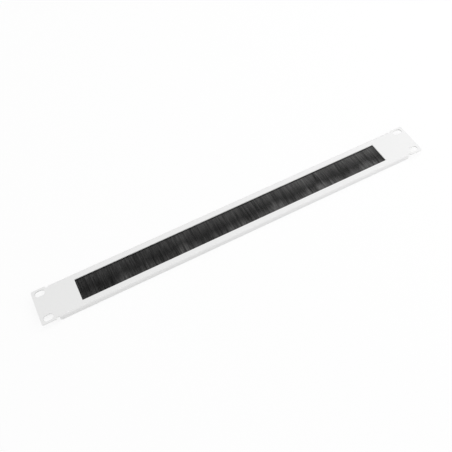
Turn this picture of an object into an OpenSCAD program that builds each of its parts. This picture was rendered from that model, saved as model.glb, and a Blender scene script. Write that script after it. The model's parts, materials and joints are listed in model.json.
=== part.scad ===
// Brush strip panel for a 19 inch rack, one unit high, lying on its back.
// X runs along the panel, Y points to its upper edge and Z comes out of its front face.
// The origin is the middle of the plane that the folded edges stand on.

/* [Rack] */
// Clear width between the rack's rails
rack_opening = 450; // [440:1:590]
// Distance from a rail's inner edge to its row of holes
hole_inset = 7.55; // [7.5:0.05:9]
// Height of one rack unit
rack_unit = 44.45; // [42:0.05:90]
// Distance from a unit's end to its nearest hole
unit_inset = 6.35; // [6:0.05:8]
// Gap that the panel leaves in its unit
unit_gap = 0.85; // [0.4:0.05:1.5]

/* [Panel] */
// Distance from a slot's middle to its ear's outer edge
ear_edge = 8.75; // [7.5:0.05:12]
// Thickness of the steel sheet
sheet = 1.2; // [1:0.1:2]
// Inside radius of the two long bends
bend_r = 1; // [0.6:0.1:1.6]
// Radius of the ears' corners
corner_r = 2; // [0.5:0.1:4]
// Gap between a folded edge's end and the rack's rail
rail_gap = 3; // [2:0.1:5]
// Width of the relief notch where a bend ends
relief_w = 2.6; // [1.5:0.1:3]
// Radius of the folded edges' rear corners
flange_corner_r = 2.5; // [0.5:0.1:3.5]
// How far the folded edges reach behind everything that they shield
rear_margin = 0.2; // [0.1:0.1:10]

/* [Window] */
// Blank sheet between the window and each end of the folded edges
side_blank = 28; // [26:0.5:60]
// Radius of the window's corners
window_r = 0.5; // [0.3:0.1:3]
// Overlap of the sheet over the holder, above the window
mouth_cover = 0.1; // [0.1:0.1:3]

/* [Rack slots] */
// Length of a slot from end to end
slot_l = 11; // [8:0.1:13]
// Width of a slot
slot_w = 7; // [5:0.1:8]

/* [Strip brush] */
// Thickness of the brush's crimped channel
channel_t = 3.2; // [3:0.1:6]
// Height of the channel from its round back to its mouth
channel_h = 5; // [4:0.1:8]
// Wall of the channel
channel_wall = 0.5; // [0.3:0.05:0.7]
// Diameter of the wire that the filaments are folded over
wire_d = 1; // [0.6:0.1:1.4]
// How far the brush runs past each end of the window
strip_overlap = 5; // [3:0.5:8]
// How far the longest tuft reaches past the window's lower edge
tip_overlap = 4; // [2:0.5:6]
// How far the shortest tuft stays behind the longest
tip_ragged = 1.5; // [0.5:0.1:3]
// Length over which a tuft narrows to its tip
tip_taper = 1; // [0.5:0.1:1.5]
// Mean width of a tuft
tuft_w = 4.5; // [4:0.5:12]
// How much narrower or wider than the mean a tuft may be, as a share
tuft_vary = 0.55; // [0:0.05:0.6]
// Depth of the deepest groove between two tufts
tuft_groove = 0.6; // [0.1:0.05:0.8]
// Gap between the filaments and the sheet's rear face
front_gap = 0.25; // [0.2:0.05:0.6]
// How far the filaments spread behind their channel
rear_spread = 0.4; // [0.1:0.1:0.6]
// Height over which the filaments spread out below the holder
spread_h = 5; // [3:0.5:8]

/* [Holder] */
// Wall of the extruded holder
holder_t = 0.7; // [0.5:0.1:1.2]
// Play of the channel in the holder's height
holder_fit = 0.1; // [0.05:0.05:0.4]
// Gap between the holder's ends and the clamps
end_gap = 0.3; // [0.1:0.1:1]
// Thickness of the two end clamps
clamp_t = 0.7; // [0.5:0.1:1.2]
// Length of a clamp's pad on the holder
pad_l = 8; // [5:0.5:15]
// Height of a clamp's foot
foot_h = 10; // [9:0.5:14]
// Gap between a clamp's foot and the end of the folded edges
foot_margin = 3; // [2:0.5:6]

/* [Fasteners] */
// Thread diameter of the welded studs
stud_d = 3; // [2.5:0.1:3.5]
// Length of thread that shows past a nut
thread_show = 0.6; // [0.3:0.1:0.7]
// Chamfer on a stud's free end
stud_chamfer = 0.3; // [0.1:0.1:0.5]
// Diameter of the flange that a stud is welded on by
stud_base_d = 4.2; // [3.8:0.1:4.6]
// Height of that flange
stud_base_h = 0.5; // [0.3:0.1:0.7]
// Distance from a stud to the nearer end of its foot
stud_inset = 4.6; // [4:0.1:5]
// Outside diameter of a washer
washer_d = 7; // [6.5:0.1:8]
// Thickness of a washer
washer_t = 0.5; // [0.4:0.1:0.8]
// Width across a nut's flats
nut_af = 5.5; // [5:0.1:6]
// Height of a nut
nut_h = 2.4; // [1.8:0.1:2.8]
// Play between a thread and what goes over it, on the diameter
thread_play = 0.1; // [0.05:0.05:0.4]
// Play between a stud's flange and the clamp's hole, on the diameter
base_play = 0.4; // [0.2:0.1:1]

/* [Hidden] */
$fn = 48;
past = 1;                                    // how far a cutting tool runs past what it cuts
hair = 0.02;                                 // gap between surfaces that would graze each other
paint = [0.80, 0.81, 0.81];
zinc = [0.66, 0.68, 0.70];
alloy = [0.72, 0.73, 0.75];
nylon = [0.10, 0.10, 0.11];

// depths are measured from the sheet's rear face, and lift() puts that face in its place
fastener_l = clamp_t + washer_t + nut_h + thread_show;
holder_depth = channel_t + holder_t + clamp_t;
back_z = max(holder_depth, fastener_l) + rear_margin;
bend_outer = bend_r + sheet;
slot_span_x = rack_opening + 2 * hole_inset;
slot_span_y = rack_unit - 2 * unit_inset;
panel_w = slot_span_x + 2 * ear_edge;
panel_h = rack_unit - unit_gap;
body_w = rack_opening - 2 * rail_gap;
inner_top = panel_h / 2 - sheet;             // inside face of the upper folded edge

// the holder bears on the upper folded edge, and the window opens just below the holder
channel_top = inner_top - holder_t - holder_fit;
mouth_y = channel_top - channel_h;
hook_y = mouth_y - holder_t;
window_h = 2 * (hook_y - mouth_cover);
window_w = body_w - 2 * side_blank;

// the strip brush
strip_l = window_w + 2 * strip_overlap;
mid_z = -channel_t / 2;
bore_r = channel_t / 2 - channel_wall;
wire_y = channel_top - channel_t / 2;
neck_y = hook_y - holder_fit;                // where the filaments start to spread
spread_y = neck_y - spread_h;
tip_y = -window_h / 2 - tip_overlap;

// the clamps: riser at the holder's end, foot on the sheet
riser_x = strip_l / 2 + end_gap;
foot_end = body_w / 2 - foot_margin;
foot_top = inner_top - bend_r - rear_margin; // clear of the bend's inside radius
stud_y = foot_top - foot_h / 2;
stud_x = [riser_x + clamp_t + stud_inset, foot_end - stud_inset];

// ---- shapes that repeat ----

module lift() {
    translate([0, 0, back_z]) children();
}

module rounded(w, h, r) {
    square([w - 2 * r, h], center = true);
    square([w, h - 2 * r], center = true);
    for (sx = [-1, 1], sy = [-1, 1])
        translate([sx * (w / 2 - r), sy * (h / 2 - r)]) circle(r);
}

// runs an outline drawn in Y and Z along X, centred on the origin
module along_x(length) {
    translate([-length / 2, 0, 0]) rotate([90, 0, 90]) linear_extrude(length) children();
}

// puts a child at every stud
module at_studs() {
    for (side = [-1, 1], x = stud_x)
        translate([side * x, stud_y, 0]) children();
}

// the bore of a washer or nut whose front face is at 0
module thread_hole(length) {
    translate([0, 0, -length - past])
        cylinder(d = stud_d + thread_play, h = length + 2 * past);
}

// ---- front panel ----

// outline of the folded sheet's outside or inside, open to the rear
module fold_outline(height, top, r) {
    translate([-height / 2, -back_z - past]) square([height, top - r + back_z + past]);
    translate([-height / 2 + r, -back_z]) square([height - 2 * r, top + back_z]);
    for (side = [-1, 1])
        translate([side * (height / 2 - r), top - r]) circle(r);
}

module fold_section() {
    intersection() {
        difference() {
            fold_outline(panel_h, sheet, bend_outer);
            fold_outline(panel_h - 2 * sheet, 0, bend_r);
        }
        translate([-panel_h / 2, -back_z]) square([panel_h, sheet + back_z]);
    }
}

module face_outline() {
    ear_from = body_w / 2 + relief_w;
    ear_w = panel_w / 2 - ear_from;
    square([2 * ear_from + 2 * corner_r, panel_h - 2 * bend_outer], center = true);
    for (side = [-1, 1])
        translate([side * (ear_from + ear_w / 2), 0]) rounded(ear_w, panel_h, corner_r);
}

module rack_slots() {
    for (sx = [-1, 1], sy = [-1, 1])
        translate([sx * slot_span_x / 2, sy * slot_span_y / 2]) {
            square([slot_l - slot_w, slot_w], center = true);
            for (end = [-1, 1])
                translate([end * (slot_l - slot_w) / 2, 0]) circle(d = slot_w);
        }
}

// what rounding takes off the folded edges' rear corners
module flange_corners() {
    r = flange_corner_r;
    for (side = [-1, 1])
        translate([side * (body_w / 2 - r), 0, r - back_z]) difference() {
            translate([side > 0 ? 0 : -r - past, -panel_h / 2 - past, -r - past])
                cube([r + past, panel_h + 2 * past, r + past]);
            rotate([90, 0, 0]) cylinder(r = r, h = panel_h + 4 * past, center = true);
        }
}

module front_panel() {
    color(paint) lift() difference() {
        union() {
            along_x(body_w) fold_section();
            linear_extrude(sheet) face_outline();
        }
        translate([0, 0, -past]) linear_extrude(sheet + 2 * past) {
            rounded(window_w, window_h, window_r);
            rack_slots();
        }
        flange_corners();
    }
}

// ---- holder and clamps ----

// hooks behind the channel and under its rear wall, and bears on the folded edge
module holder_section() {
    rear = -channel_t - holder_t;
    soft = holder_t / 2;                     // rounding of the two rear corners
    translate([hook_y + soft, rear]) square([inner_top - hook_y - 2 * soft, holder_t]);
    translate([hook_y, rear + soft]) square([inner_top - hook_y, holder_t - soft]);
    for (y = [hook_y + soft, inner_top - soft])
        translate([y, rear + soft]) circle(soft);
    translate([inner_top - holder_t, rear + soft])
        square([holder_t, -bend_r - rear_margin - rear - soft]);
    translate([hook_y, rear + soft])
        square([holder_t, holder_t + channel_wall - holder_fit - soft]);
}

module brush_holder() {
    color(alloy) lift() along_x(strip_l) holder_section();
}

// foot on the sheet, riser past the holder's end, pad on the holder's rear
module right_clamp() {
    pad_z = -holder_depth;
    pad_x = riser_x - end_gap - pad_l;
    color(zinc) lift() difference() {
        union() {
            translate([riser_x, foot_top - foot_h, -clamp_t])
                cube([foot_end - riser_x, foot_h, clamp_t]);
            translate([riser_x, hook_y, pad_z]) cube([clamp_t, foot_top - hook_y, holder_depth]);
            translate([pad_x, hook_y, pad_z])
                cube([riser_x + clamp_t - pad_x, foot_top - hook_y, clamp_t]);
        }
        at_studs() translate([0, 0, -clamp_t - past])
            cylinder(d = stud_base_d + base_play, h = clamp_t + 2 * past);
    }
}

module left_clamp() {
    mirror([1, 0, 0]) right_clamp();
}

// ---- strip brush ----

// a U that opens downwards; inset moves its walls in
module channel_outline(inset) {
    r = channel_t / 2 - inset;
    translate([wire_y, mid_z]) circle(r);
    translate([mouth_y, mid_z - r]) square([wire_y - mouth_y, 2 * r]);
}

module brush_channel() {
    color(zinc) lift() along_x(strip_l) difference() {
        channel_outline(0);
        channel_outline(channel_wall);
    }
}

module core_wire() {
    color(zinc) lift() translate([0, wire_y, mid_z]) rotate([0, 90, 0])
        cylinder(d = wire_d, h = strip_l, center = true);
}

// The filaments are one solid that is folded over the wire. Rings of points stand along it:
// one in each groove, and one at each shoulder of a tuft.
tuft_n = floor(strip_l / tuft_w);
tuft_widths = rands(1 - tuft_vary, 1 + tuft_vary, tuft_n, 7);
function widths_before(i) = i < 1 ? 0 : tuft_widths[i - 1] + widths_before(i - 1);
function groove_x(i) = strip_l * (widths_before(i) / widths_before(tuft_n) - 0.5);

// outline across the brush, from the tips over the front, the wire and the rear
function outer_loop(dip, tip) =
    let (
        r = bore_r - hair,
        front = -front_gap - dip,
        rear = -channel_t - rear_spread + dip,
        near_tip = tip + tip_taper,
        arc = [for (a = [90 : -45 : -90]) [wire_y + r * cos(a), mid_z + r * sin(a)]]
    )
    concat(
        [[tip, mid_z], [near_tip, front], [spread_y, front], [neck_y, mid_z + r]],
        arc,
        [[neck_y, mid_z - r], [spread_y, rear], [near_tip, rear]]);

// the six-sided hollow that the wire lies in
function wire_loop() =
    let (r = (wire_d / 2 + hair) / cos(30))
    [for (a = [180 : -60 : -120]) [wire_y + r * cos(a), mid_z + r * sin(a)]];

// each stand: its place along the brush, its depth below the front, how much shorter it is,
// and how far its tip leans along the brush
function tuft_stands() =
    let (
        deep = rands(0.35, 1, tuft_n + 1, 8),
        sunk = rands(0, 0.35, tuft_n, 9),
        short = rands(0, 1, tuft_n, 10),
        lean = rands(-0.2, 0.2, tuft_n, 11),
        tufts = [for (i = [0 : tuft_n - 1])
            let (x = groove_x(i), w = groove_x(i + 1) - x)
            each [
                [x, deep[i], short[i], 0],
                [x + 0.25 * w, sunk[i], short[i], lean[i] * w],
                [x + 0.75 * w, sunk[i], short[i] * 0.8, lean[i] * w]]]
    )
    concat(tufts, [[groove_x(tuft_n), deep[tuft_n], 0.5, 0]]);

module bristles() {
    stands = tuft_stands();
    ring_count = len(stands);
    rings = [for (stand = stands)
        let (loop = outer_loop(stand[1] * tuft_groove, tip_y + stand[2] * tip_ragged))
        [for (p = concat(loop, wire_loop()))
            [stand.x + (p.x < spread_y ? stand[3] : 0), p.x, p.y]]];
    outer_n = len(outer_loop(0, 0));
    hub_n = len(wire_loop());
    all_n = outer_n + hub_n;
    last = (ring_count - 1) * all_n;
    // from ring a's point k to its next one b, and on to the ring after
    outside = [for (i = [0 : ring_count - 2], k = [0 : outer_n - 1])
        let (a = i * all_n + k, b = i * all_n + (k + 1) % outer_n)
        each [[a, b, a + all_n], [b, b + all_n, a + all_n]]];
    hollow = [for (i = [0 : ring_count - 2], k = [0 : hub_n - 1])
        let (a = i * all_n + outer_n + k, b = i * all_n + outer_n + (k + 1) % hub_n)
        each [[a, a + all_n, b], [b, a + all_n, b + all_n]]];
    // an end face: the tips, two strips of filaments, and the fold around the wire
    neck = [3, outer_n - 3];
    end = concat(
        [[0, 1, outer_n - 1], [1, 2, outer_n - 2, outer_n - 1], [2, neck[0], neck[1], outer_n - 2],
         [neck[1], neck[0], outer_n]],
        [for (k = [0 : hub_n - 1])
            [neck[0] + k, neck[0] + k + 1, outer_n + (k + 1) % hub_n, outer_n + k]]);
    near_end = [for (face = end) [for (k = [len(face) - 1 : -1 : 0]) face[k]]];
    far_end = [for (face = end) [for (k = face) last + k]];
    color(nylon) lift()
        polyhedron([for (ring = rings) each ring], concat(outside, hollow, near_end, far_end));
}

// ---- fasteners ----

module weld_studs() {
    color(zinc) lift() at_studs() {
        translate([0, 0, -stud_base_h]) cylinder(d = stud_base_d, h = stud_base_h);
        translate([0, 0, -fastener_l])
            cylinder(d1 = stud_d - 2 * stud_chamfer, d2 = stud_d, h = stud_chamfer);
        translate([0, 0, stud_chamfer - fastener_l])
            cylinder(d = stud_d, h = fastener_l - stud_chamfer);
    }
}

module flat_washers() {
    color(zinc) lift() at_studs() translate([0, 0, -clamp_t]) difference() {
        translate([0, 0, -washer_t]) cylinder(d = washer_d, h = washer_t);
        thread_hole(washer_t);
    }
}

// hexagon with its corners turned down at both faces
module hex_nuts() {
    reach = nut_af / 2 / cos(30);
    drop = nut_af * 0.05;
    color(zinc) lift() at_studs() translate([0, 0, -clamp_t - washer_t]) difference() {
        intersection() {
            translate([0, 0, -nut_h]) cylinder(r = reach, h = nut_h, $fn = 6);
            rotate_extrude() polygon([
                [0, 0], [nut_af / 2, 0], [reach, -drop], [reach, drop - nut_h],
                [nut_af / 2, -nut_h], [0, -nut_h]]);
        }
        thread_hole(nut_h);
    }
}

front_panel();
brush_holder();
left_clamp();
right_clamp();
brush_channel();
core_wire();
bristles();
weld_studs();
flat_washers();
hex_nuts();
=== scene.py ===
import json
import math
import random

import bmesh
import bpy
import numpy as np
from mathutils import Matrix, Vector, noise


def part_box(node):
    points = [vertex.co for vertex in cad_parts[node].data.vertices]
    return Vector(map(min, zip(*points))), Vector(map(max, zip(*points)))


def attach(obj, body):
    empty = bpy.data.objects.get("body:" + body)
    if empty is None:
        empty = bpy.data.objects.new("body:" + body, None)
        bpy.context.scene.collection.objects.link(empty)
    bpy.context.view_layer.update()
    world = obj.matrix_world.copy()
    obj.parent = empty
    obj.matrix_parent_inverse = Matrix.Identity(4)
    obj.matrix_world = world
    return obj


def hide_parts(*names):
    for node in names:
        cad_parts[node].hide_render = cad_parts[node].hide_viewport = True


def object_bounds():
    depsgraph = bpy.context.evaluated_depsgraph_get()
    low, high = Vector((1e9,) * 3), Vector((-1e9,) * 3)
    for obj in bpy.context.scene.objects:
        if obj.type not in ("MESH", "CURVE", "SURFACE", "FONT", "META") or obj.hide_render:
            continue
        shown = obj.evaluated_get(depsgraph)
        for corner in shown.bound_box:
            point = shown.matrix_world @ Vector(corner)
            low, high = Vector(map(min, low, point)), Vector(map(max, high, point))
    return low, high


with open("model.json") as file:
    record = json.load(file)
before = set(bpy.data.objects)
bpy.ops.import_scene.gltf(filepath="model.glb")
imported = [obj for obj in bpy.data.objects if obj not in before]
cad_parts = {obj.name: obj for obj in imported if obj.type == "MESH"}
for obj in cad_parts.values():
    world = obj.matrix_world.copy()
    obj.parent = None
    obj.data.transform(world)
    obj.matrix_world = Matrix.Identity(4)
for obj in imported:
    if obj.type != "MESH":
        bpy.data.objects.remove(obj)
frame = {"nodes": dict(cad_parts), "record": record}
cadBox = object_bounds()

mm = 0.001
edgeSamples = 4                  # rays for a softened edge


# shader sockets as numbers

class Wire:
    def __init__(self, tree, socket=None):
        self.tree = tree
        self.socket = socket

    def node(self, kind, settings=None, inputs=None, output=0):
        made = self.tree.nodes.new("ShaderNode" + kind)
        for key, value in (settings or {}).items():
            setattr(made, key, value)
        for key, value in (inputs or {}).items():
            if isinstance(value, Wire):
                self.tree.links.new(value.socket, made.inputs[key])
            else:
                made.inputs[key].default_value = value
        return Wire(self.tree, made.outputs[output] if made.outputs else None)

    def maths(self, operation, first, second):
        return self.node("Math", {"operation": operation}, {0: first, 1: second})

    def __add__(self, other):
        return self.maths("ADD", self, other)

    def __sub__(self, other):
        return self.maths("SUBTRACT", self, other)

    def __rsub__(self, other):
        return self.maths("SUBTRACT", other, self)

    def __mul__(self, other):
        return self.maths("MULTIPLY", self, other)

    def atLeast(self, other):
        return self.maths("MAXIMUM", self, other)

    def atMost(self, other):
        return self.maths("MINIMUM", self, other)

    def fade(self):  # held between 0 and 1
        return self.atLeast(0.0).atMost(1.0)

    def ramp(self, stops):
        made = self.node("ValToRGB", {}, {0: self})
        elements = made.socket.node.color_ramp.elements
        elements.remove(elements[1])
        elements[0].position, elements[0].color = stops[0][0], grey(stops[0][1])
        for position, tone in stops[1:]:
            elements.new(position).color = grey(tone)
        return made

    def mix(self, first, second):  # colours, by this value
        return self.node("Mix", {"data_type": "RGBA"}, {0: self, 6: first, 7: second}, 2)


def grey(tone, tint=(1, 1, 1)):
    return (tone * tint[0], tone * tint[1], tone * tint[2], 1)


def newFinish(name):
    material = bpy.data.materials.new(name)
    material.use_nodes = True
    tree = material.node_tree
    tree.nodes.clear()
    return material, Wire(tree).node("TexCoord", output="Object")


def pattern(place, size, stretch=(1, 1, 1), detail=3.0):  # noise, its cells about this size
    spot = place.node("Mapping", {}, {"Vector": place, "Scale": [s / size for s in stretch]})
    return place.node("TexNoise", {}, {"Vector": spot, "Scale": 1.0, "Detail": detail})


def closeFinish(material, place, color, roughness, height, depth, softEdge=0.0, **shader):
    bump = {"Strength": 1.0, "Distance": depth, "Height": height}
    if softEdge:
        bump["Normal"] = place.node("Bevel", {"samples": edgeSamples}, {"Radius": softEdge})
    inputs = {"Base Color": color, "Roughness": roughness, "Normal": place.node("Bump", {}, bump)}
    surface = place.node("BsdfPrincipled", {}, {**inputs, **shader})
    place.node("OutputMaterial", {}, {"Surface": surface})
    return material


# finishes

paint = {
    "tones": (0.788, 0.812),
    "tint": (1.0, 1.0, 0.998),
    "fine": (0.55 * mm, (1, 1, 1), 2.0),
    "peel": (2.2 * mm, (1, 1, 1), 1.0),
    "cloud": (60 * mm,),
    "cloudShare": 0.7,           # of the tone, the rest is the fine grain's
    "peelShare": 0.5,            # of the relief
    "relief": 0.010 * mm,
    "roughness": (0.41, 0.10),   # lowest, and how far the grain raises it
    "specular": 0.5,
    "softEdge": 0.25 * mm,
}


def powderCoat():
    material, place = newFinish("powderCoat")
    fine = pattern(place, *paint["fine"])
    peel = pattern(place, *paint["peel"])
    cloud = pattern(place, *paint["cloud"])
    share, peelShare = paint["cloudShare"], paint["peelShare"]
    low, high = [grey(tone, paint["tint"]) for tone in paint["tones"]]
    color = (cloud * share + fine * (1 - share)).mix(low, high)
    smooth, rise = paint["roughness"]
    relief = fine * (1 - peelShare) + peel * peelShare
    return closeFinish(material, place, color, fine * rise + smooth, relief, paint["relief"],
                       paint["softEdge"], **{"Specular IOR Level": paint["specular"]})


nylon = {                        # heights are in mm along Y, from tips to roots
    "dark": 0.001,
    "light": 0.17,
    "lightTint": (1.0, 0.99, 0.98),
    "fine": (1.2 * mm, (1, 0.05, 0.1), 1.0),
    "patch": (5 * mm, (1, 0.35, 0.1), 2.0),
    "slow": (60 * mm, (1, 0.3, 0.3), 1.0),
    # these two give the painted tip sheen its ragged edge and uneven strength
    "tipSheen": (4 * mm, (1, 0.02, 0.02), 2.0),
    "tipSheenSlow": (30 * mm, (1, 0.02, 0.02), 1.0),
    "grain": (0.1 * mm, (1, 0.05, 1)),
    # painted sheen near the roots and at the tips, painted shade in the middle where the locks
    # part
    "sheenShadeProfile": ((0.0, 0.30), (0.3, 0.09), (0.45, 0.09), (0.62, 0.18), (0.80, 0.33), (1.0, 0.46)),
    "sheenShadeSpan": (-19.0, 34),  # where the painted sheen and shade starts, and its length
    "streaks": {"own": 0.4, "fine": 2.4, "patch": 0.8, "level": 0.75, "least": 0.08},
    "glint": 0.15,               # fine streaks that show in the dark part too
    "rightSheen": (0.45, 1.85),        # painted sheen of a light from the right, from the left end to the right one
    "rightSheenSpan": 400 * mm,
    # painted sheen on the tips: where it starts, how ragged its edge is, and how it fades in
    "tips": {"start": -2.0, "tipSheen": 8.0, "tipSheenSlow": 16.0, "fade": 8},
    "tipSheenTone": {"level": 0.31, "tipSheen": 0.2, "tipSheenSlow": 1.3},
    # painted shadow in the recess under the window's top edge, over the roots
    "root": {"start": 12.6, "fade": 1.1, "shade": 0.9, "rough": 0.5},
    "roughness": (0.24, 0.2),
    "gloss": 0.22,
    "relief": 0.004 * mm,
}


def filamentNylon():
    material, place = newFinish("filamentNylon")
    names = ("fine", "patch", "slow", "tipSheen", "tipSheenSlow")
    fine, patch, slow, tipSheen, tipSheenSlow = [pattern(place, *nylon[name]) - 0.5 for name in names]
    grain = pattern(place, *nylon["grain"])
    own = place.node("Attribute", {"attribute_name": "tone"}, {}, "Fac")
    across = place.node("SeparateXYZ", {}, {0: place}, 0)
    height = place.node("SeparateXYZ", {}, {0: place}, 1) * (1 / mm)

    # painted sheen of a light from the right: brighter towards the right end, times a slow random
    # tone
    low, high = nylon["rightSheen"]
    rightSheen = across * ((high - low) / nylon["rightSheenSpan"]) + (low + high) / 2 + slow
    # lighter tips: painted sheen where the tips catch the light, with a ragged upper edge
    edge = nylon["tips"]
    tips = edge["start"] - height + tipSheen * edge["tipSheen"] + tipSheenSlow * edge["tipSheenSlow"]
    tips = (tips * (1 / edge["fade"])).fade()
    # where the painted shadow of the recess lies, near the roots
    root = ((height - nylon["root"]["start"]) * (1 / nylon["root"]["fade"])).fade()

    # painted sheen and shade along the strands, from tips to roots
    start, length = nylon["sheenShadeSpan"]
    body = ((height - start) * (1 / length)).ramp(nylon["sheenShadeProfile"])
    pale = nylon["tipSheenTone"]
    body = body + tips * (tipSheen * pale["tipSheen"] + tipSheenSlow * pale["tipSheenSlow"] + pale["level"])
    shares = nylon["streaks"]
    streak = own * shares["own"] + fine * shares["fine"] + patch * shares["patch"]
    streak = (streak + shares["level"]).atLeast(shares["least"])
    shade = body * streak * rightSheen + fine * nylon["glint"]
    # darkened near the roots: painted shadow of the recess
    shade = shade * (1.0 - root * nylon["root"]["shade"])
    color = shade.mix(grey(nylon["dark"]), grey(nylon["light"], nylon["lightTint"]))

    smooth, rise = nylon["roughness"]
    roughness = grain * rise + root * nylon["root"]["rough"] + smooth
    return closeFinish(material, place, color, roughness, grain, nylon["relief"],
                       **{"Specular IOR Level": nylon["gloss"]})


alloy = {
    "tones": (0.60, 0.72),
    "tint": (0.98, 0.99, 1.0),
    "lines": (0.12 * mm, (0.004, 1, 1), 4.0),
    "cloud": (9 * mm, (0.3, 1, 1)),
    "roughness": (0.24, 0.22),
    "relief": 0.004 * mm,
    "softEdge": 0.1 * mm,
}


def drawnAlloy():
    material, place = newFinish("drawnAlloy")
    lines = pattern(place, *alloy["lines"])
    low, high = [grey(tone, alloy["tint"]) for tone in alloy["tones"]]
    color = pattern(place, *alloy["cloud"]).mix(low, high)
    smooth, rise = alloy["roughness"]
    return closeFinish(material, place, color, lines * rise + smooth, lines, alloy["relief"],
                       alloy["softEdge"], Metallic=1.0)


zinc = {
    "tints": ((0.98, 1.0, 1.02), (0.99, 1.0, 1.01)),
    "grain": (0.4 * mm,),
    "flakeShare": 0.7,           # of the tone, the rest is the grain's
    "rise": (0.12, 0.1),         # how far flakes and grain raise the roughness
    "relief": 0.005 * mm,
    "softEdge": 0.08 * mm,
}
zincSheet = {"spangle": 5 * mm, "tones": (0.52, 0.66), "roughness": 0.30}
zincFastener = {"spangle": 0.6 * mm, "tones": (0.58, 0.72), "roughness": 0.22}


def zincPlate(name, plate):
    material, place = newFinish(name)
    scale = 1 / plate["spangle"]
    cells = place.node("TexVoronoi", {}, {"Vector": place, "Scale": scale}, "Color")
    flake = place.node("SeparateColor", {}, {0: cells}, 0)
    grain = pattern(place, *zinc["grain"])
    low, high = [grey(tone, tint) for tone, tint in zip(plate["tones"], zinc["tints"])]
    share = zinc["flakeShare"]
    color = (flake * share + grain * (1 - share)).mix(low, high)
    flakeRise, grainRise = zinc["rise"]
    roughness = flake * flakeRise + grain * grainRise + plate["roughness"]
    return closeFinish(material, place, color, roughness, grain, zinc["relief"],
                       zinc["softEdge"], Metallic=1.0)


channel = {
    "tones": (0.50, 0.62),
    "grain": (0.3 * mm,),
    "crimpScale": 9 * mm,
    "crimpShare": 0.9,           # of the relief
    "roughness": (0.28, 0.2),
    "relief": 0.15 * mm,
}


def crimpedStrip():
    material, place = newFinish("crimpedStrip")
    scale = 1 / channel["crimpScale"]
    crimps = place.node("TexWave", {"bands_direction": "X"}, {"Vector": place, "Scale": scale})
    grain = pattern(place, *channel["grain"])
    low, high = channel["tones"]
    smooth, rise = channel["roughness"]
    share = channel["crimpShare"]
    relief = crimps * share + grain * (1 - share)
    return closeFinish(material, place, grain.mix(grey(low), grey(high)),
                       grain * rise + smooth, relief, channel["relief"], Metallic=1.0)


coreWire = {
    "tones": (0.42, 0.58),
    "lines": (0.08 * mm, (0.01, 1, 1)),
    "roughness": (0.25, 0.2),
    "relief": 0.003 * mm,
}


def drawnWire():
    material, place = newFinish("drawnWire")
    lines = pattern(place, *coreWire["lines"])
    low, high = coreWire["tones"]
    smooth, rise = coreWire["roughness"]
    return closeFinish(material, place, lines.mix(grey(low), grey(high)),
                       lines * rise + smooth, lines, coreWire["relief"], Metallic=1.0)


finishes = {
    "panel_paint": powderCoat(),
    "filament_nylon": filamentNylon(),
    "holder_alloy": drawnAlloy(),
    "zinc_sheet": zincPlate("zincSheet", zincSheet),
    "channel_steel": crimpedStrip(),
    "wire_steel": drawnWire(),
    "fastener_zinc": zincPlate("zincFastener", zincFastener),
}

slotOf = {part["node"]: part["material_slot"] for part in frame["record"]["subparts"]}
for name, piece in frame["nodes"].items():
    piece.data.materials.clear()
    piece.data.materials.append(finishes[slotOf[name]])
print("finishes", len(finishes))


def addPiece(name, mesh, slot, *nodes):
    piece = bpy.data.objects.new(name, mesh)
    bpy.context.scene.collection.objects.link(piece)
    mesh.materials.clear()
    mesh.materials.append(finishes[slot])
    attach(piece, "root")
    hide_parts(*nodes)


# filaments of the brush, between the solid's own front and rear faces

brush = {
    "seed": 11,
    "strands": 9600,
    "radius": 0.14 * mm,
    "steps": (0.0, 0.07, 0.18, 0.36, 0.56, 0.74, 0.88, 1.0),
    "inChannel": 0.6 * mm,       # how deep a strand starts in its channel
    "looseLayers": (0.0, 0.09, 0.19),  # shares of the thickness from the front, in mixed order
    "evenLayers": (0.5, 0.84, 1.0),    # these keep their order, so that no light comes through
    "loose": 0.045,              # how far a strand strays from its layer, as such a share
    "lock": (0.8 * mm, 3.5 * mm),  # least and greatest width
    "pull": 0.16,                # how far a lock draws together at its tips
    "lean": 0.3 * mm,
    "sway": 0.7 * mm,
    "wave": 14 * mm,             # about the length of a sway along X
    "waveRow": 3.1,
    "stray": 0.22 * mm,
    "ragged": 0.9 * mm,          # how much the shortest strand lacks
    "tipSpread": 0.5,
    "lockRagged": 0.4,           # share of it that a lock has in common
    "frontRagged": 0.3,          # share of it that the foremost strands have
    "outside": 1 * mm,           # rays at the solid start this far from it
    "thinnest": 4,               # radii, and where the solid is thinner its tip has ended
    "tipThickness": 0.4,         # share of the thickness that strands keep there
    "tipWidth": 0.55,
    "tone": {"middle": 0.5, "spread": 0.25, "lock": 0.3},
    "parts": ("left", "middle", "right"),
}


def held(value, low, high):
    return min(max(value, low), high)


def locks(edges, dice):
    return [((a + b) / 2, b, dice.uniform(-1, 1), dice.uniform(0, 1))
            for a, b in zip(edges, edges[1:])]


def reach(solid, start, way, miss):  # distance from start to the solid's surface
    hit, place, _, _ = solid.ray_cast(start, way)
    return (place - start).length if hit else miss


def makeBunches(low, high, layers, dice):
    edges = [low - brush["lock"][1]]
    while edges[-1] < high + brush["lock"][1]:
        edges.append(edges[-1] + dice.uniform(*brush["lock"]))
    between = [(a + b) / 2 for a, b in zip(edges, edges[1:])]  # covers the next layer's gaps
    return {layer: locks(between if n % 2 else edges, dice) for n, layer in enumerate(layers)}


def faces(solid, low, high, x, y):  # the solid's front and rear at a point
    outside = brush["outside"]
    fromFront = reach(solid, Vector((x, y, high.z + outside)), Vector((0, 0, -1)), outside)
    fromRear = reach(solid, Vector((x, y, low.z - outside)), Vector((0, 0, 1)), outside)
    front, rear = high.z + outside - fromFront, low.z - outside + fromRear
    if front - rear < brush["thinnest"] * brush["radius"]:
        middle = (low.z + high.z) / 2
        half = (high.z - low.z) * brush["tipThickness"] / 2
        front, rear = middle + half, middle - half
    return front, rear


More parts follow.
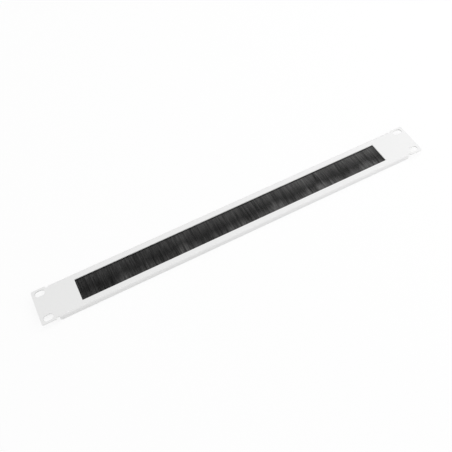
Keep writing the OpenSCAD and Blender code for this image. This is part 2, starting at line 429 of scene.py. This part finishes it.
def growStrands(dice):
    solid = frame["nodes"]["bristles"]
    low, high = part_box("bristles")
    radius, count, outside = brush["radius"], brush["strands"], brush["outside"]
    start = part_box("brush_channel")[0].y + brush["inChannel"]
    loose, even = list(brush["looseLayers"]), brush["evenLayers"]
    layers = (*loose, *even)
    bunches = makeBunches(low.x, high.x, layers, dice)
    lockRagged, frontRagged, tone = brush["lockRagged"], brush["frontRagged"], brush["tone"]
    strands, tones = [], []
    for i in range(count):
        turn = i % len(layers)
        if turn == 0:
            dice.shuffle(loose)
        layer = even[turn // 2] if turn % 2 else loose[turn // 2]
        x = low.x + radius + (high.x - low.x - 2 * radius) * (i + 0.5) / count
        while x > bunches[layer][0][1]:
            bunches[layer].pop(0)
        centre, _, lean, mood = bunches[layer][0]
        depth = held(layer + dice.uniform(-1, 1) * brush["loose"], 0, 1)
        wave = noise.noise(Vector((x / brush["wave"], brush["waveRow"], 0))) * brush["sway"]
        stray = dice.gauss(0, 1) * brush["stray"]
        under = Vector((x, low.y - outside, (low.z + high.z) / 2))
        tip = under.y + reach(solid, under, Vector((0, 1, 0)), outside)
        own = held(abs(dice.gauss(0, brush["tipSpread"])), 0, 1)
        short = lockRagged * mood + (1 - lockRagged) * own
        tip += brush["ragged"] * short * (frontRagged + (1 - frontRagged) * depth)
        points = []
        for share in brush["steps"]:
            y = start + (tip - start) * share
            aside = (centre - x) * brush["pull"] + wave + lean * brush["lean"] + stray * share
            across = held(x + aside * (share * share), low.x + radius, high.x - radius)
            front, rear = faces(solid, low, high, across, y)
            points.append((across, y, front - radius + (rear - front + 2 * radius) * depth))
        strands.append(points)
        shift = tone["spread"] * dice.gauss(0, 1) + tone["lock"] * (mood - 0.5)
        tones.append(held(tone["middle"] + shift, 0, 1))
    return strands, tones


def strandMesh(name, strands, tones):
    curve = bpy.data.curves.new(name, "CURVE")
    curve.dimensions = "3D"
    curve.bevel_depth = brush["radius"]
    curve.bevel_resolution = 0
    curve.use_fill_caps = True
    for points in strands:
        spline = curve.splines.new("POLY")
        spline.points.add(len(points) - 1)
        spline.points.foreach_set("co", [c for point in points for c in (*point, 1)])
        spline.points[-1].radius = brush["tipWidth"]
    holder = bpy.data.objects.new(name, curve)
    bpy.context.scene.collection.objects.link(holder)
    shape = holder.evaluated_get(bpy.context.evaluated_depsgraph_get())
    mesh = bpy.data.meshes.new_from_object(shape)
    bpy.data.objects.remove(holder)
    bpy.data.curves.remove(curve)
    mesh.name = name
    each = len(mesh.vertices) // len(strands)
    tone = mesh.attributes.new("tone", "FLOAT", "POINT")
    tone.data.foreach_set("value", np.repeat(np.array(tones, np.float32), each))
    mesh.polygons.foreach_set("use_smooth", [True] * len(mesh.polygons))
    return mesh


strands, tones = growStrands(random.Random(brush["seed"]))
share = len(strands) // len(brush["parts"])
for number, part in enumerate(brush["parts"]):
    own = slice(number * share, (number + 1) * share)
    mesh = strandMesh("filaments_" + part, strands[own], tones[own])
    addPiece(mesh.name, mesh, "filament_nylon", "bristles")
    print(mesh.name, len(mesh.vertices), len(mesh.polygons))


# floor, light and camera

studio = {
    "floorSize": 6.0,
    "floorTone": 0.92,
    "floorGlow": 0.84,           # share of plain white that the camera sees
    "sky": 0.73,
    "skyGloss": 0.85,            # the sky in reflections
    "key": {"place": (1.45, 0.85, 1.35), "size": 1.3, "power": 6.0},
    "side": {"place": (1.0, -0.45, 0.5), "size": 0.8, "power": 3.2},
    "top": {"place": (0, 0.35, 1.6), "size": 1.2, "power": 4.3},
}
view = {
    "place": (-0.1569, -0.3409, 0.5499),
    "aim": (-0.0179, -0.0046, 0.006),
    "roll": -5.66,               # degrees
    "lens": 45.96,
    "sensor": 36.0,
}


def rayKinds(place):  # camera, glossy and transmission rays
    kinds = ("Camera", "Glossy", "Transmission")
    return [place.node("LightPath", output=f"Is {kind} Ray") for kind in kinds]


def makeFloor():
    bm = bmesh.new()
    bmesh.ops.create_grid(bm, x_segments=1, y_segments=1, size=studio["floorSize"] / 2)
    bmesh.ops.translate(bm, verts=bm.verts, vec=(0, 0, cadBox[0][2]))
    mesh = bpy.data.meshes.new("floor")
    bm.to_mesh(mesh)
    bm.free()
    floor = bpy.data.objects.new("floor", mesh)
    bpy.context.scene.collection.objects.link(floor)
    material, place = newFinish("paleFloor")
    seen, shiny, clear = rayKinds(place)
    seen = seen.atLeast(shiny.atLeast(clear))
    plain = place.node("BsdfDiffuse", {}, {"Color": grey(studio["floorTone"])})
    glow = place.node("Emission", {}, {"Color": grey(1.0), "Strength": 1.0})
    surface = place.node("MixShader", {}, {0: seen * studio["floorGlow"], 1: plain, 2: glow})
    place.node("OutputMaterial", {}, {"Surface": surface})
    mesh.materials.append(material)


def makeSky():
    world = bpy.data.worlds.new("studio")
    bpy.context.scene.world = world
    world.use_nodes = True
    world.node_tree.nodes.clear()
    sky = Wire(world.node_tree)
    seen, shiny, clear = rayKinds(sky)
    strength = seen.atLeast(clear) * (1.0 - studio["sky"]) + studio["sky"]
    strength = strength.atLeast(shiny * studio["skyGloss"])
    back = sky.node("Background", {}, {"Color": grey(1.0), "Strength": strength})
    sky.node("OutputWorld", {}, {"Surface": back})


def aimed(place, target, roll=0.0):
    away = Vector(place) - Vector(target)
    turn = away.to_track_quat("Z", "Y").to_matrix().to_4x4()
    return Matrix.Translation(place) @ turn @ Matrix.Rotation(math.radians(roll), 4, "Z")


def makeLamp(name, lamp):
    data = bpy.data.lights.new(name, "AREA")
    data.shape = "DISK"
    data.size = lamp["size"]
    data.energy = lamp["power"]
    made = bpy.data.objects.new(name, data)
    made.matrix_world = aimed(lamp["place"], (0, 0, 0))
    bpy.context.scene.collection.objects.link(made)


def makeCamera():
    data = bpy.data.cameras.new("camera")
    data.sensor_width = view["sensor"]
    data.lens = view["lens"]
    camera = bpy.data.objects.new("camera", data)
    camera.matrix_world = aimed(view["place"], view["aim"], view["roll"])
    bpy.context.scene.collection.objects.link(camera)
    bpy.context.scene.camera = camera


makeFloor()
makeSky()
for name in ("key", "side", "top"):
    makeLamp(name, studio[name])
makeCamera()
bpy.context.scene.view_settings.view_transform = "Standard"
print("studio")
